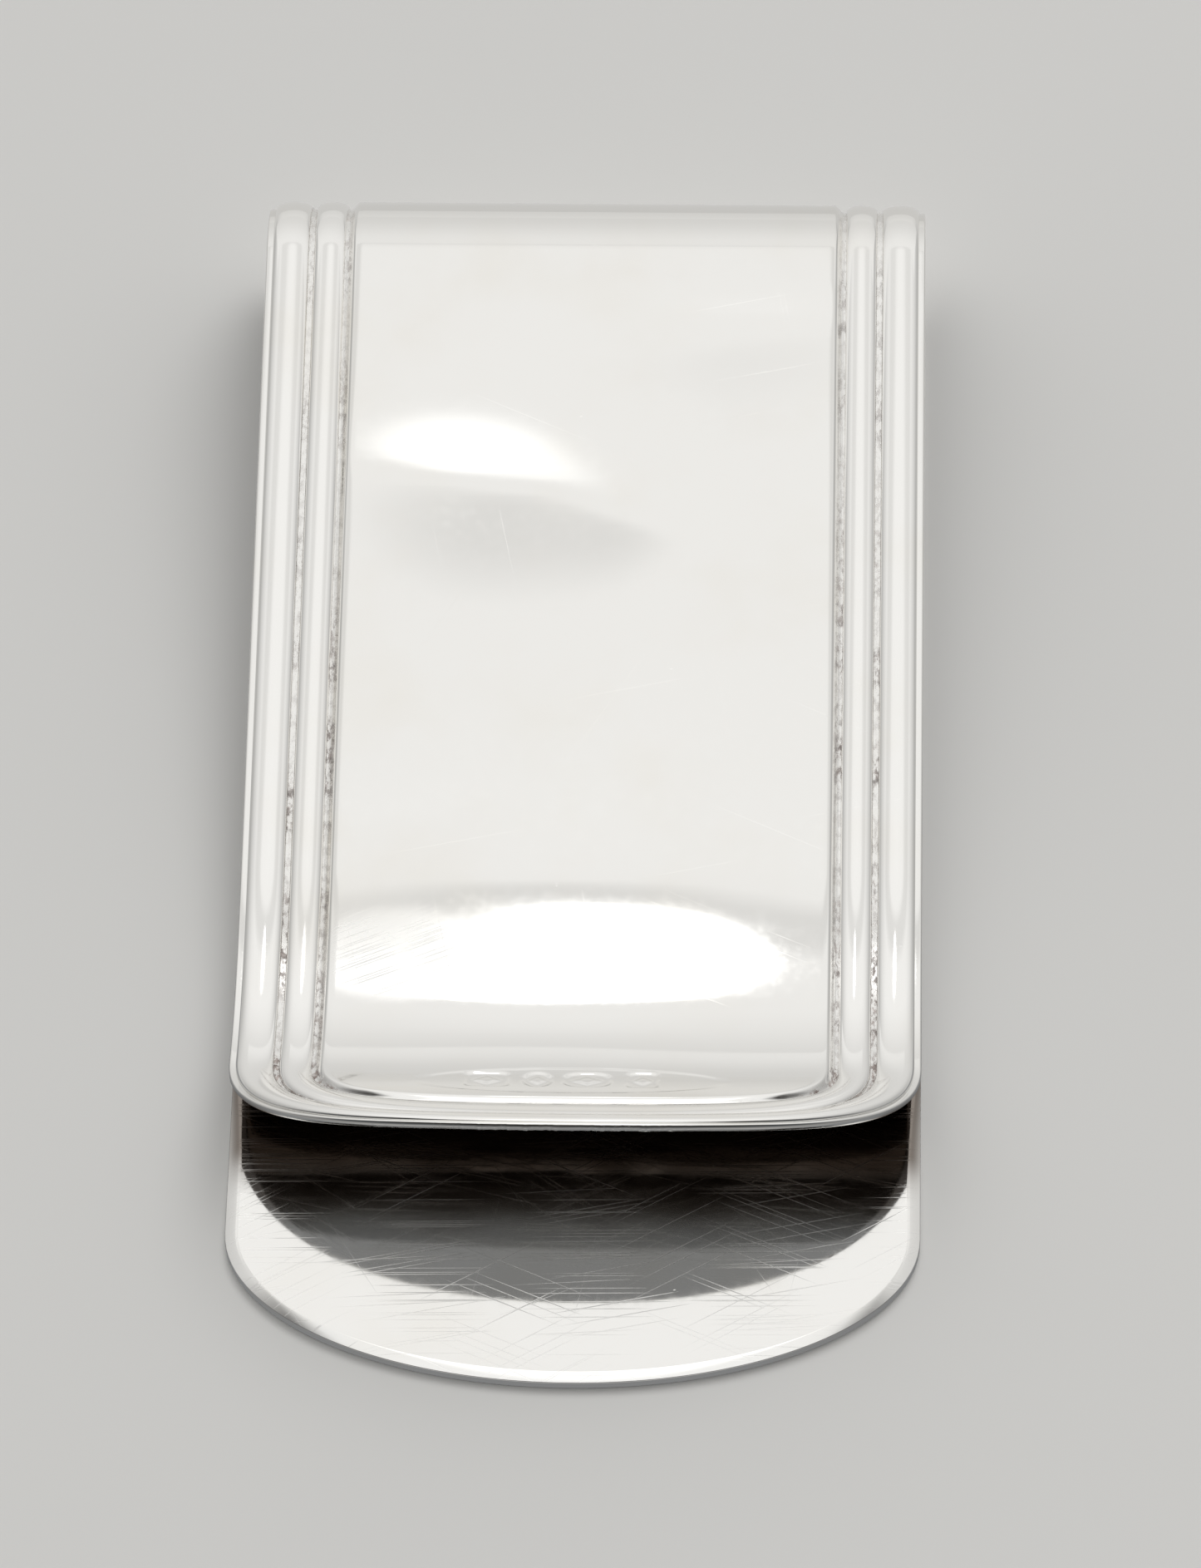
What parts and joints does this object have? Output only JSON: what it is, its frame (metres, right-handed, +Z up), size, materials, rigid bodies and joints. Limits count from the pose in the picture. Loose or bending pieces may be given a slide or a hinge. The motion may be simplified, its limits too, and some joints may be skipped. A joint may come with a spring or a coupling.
{
  "type": "money clip",
  "caption": "Sprung silver money clip: a strip bent into a long U, with a plain back leaf, a reeded front leaf and an upturned lip.",
  "frame": {"origin": "centre of the underside of the bounding box, on the surface that the back leaf lies on", "axes": "+Z up from the back leaf to the front leaf, +Y from the open end to the bend, +X across the clip"},
  "size_m": [0.0254, 0.0508, 0.0068],
  "materials": {
    "polished_silver": "polished",
    "plain_silver": "gloss",
    "reed_silver": "polished"
  },
  "bodies": {
    "back_half": {"back_leaf": "plain_silver", "bend_back_half": "polished_silver", "outer_reed_tail_left": "reed_silver", "outer_reed_tail_right": "reed_silver", "inner_reed_tail_left": "reed_silver", "inner_reed_tail_right": "reed_silver"},
    "front_half": {"bend_front_half": "polished_silver", "front_leaf": "polished_silver", "outer_reed": "reed_silver", "inner_reed": "reed_silver"}
  },
  "joints": [
    {"name": "leaf_flex", "type": "hinge", "parent": "back_half", "child": "front_half", "pos_m": [0, 0.02513, 0.00315], "axis": [-1, 0, 0], "range_deg": [-1.3, 8], "stiffness_Nm_per_rad": 1.2}
  ]
}
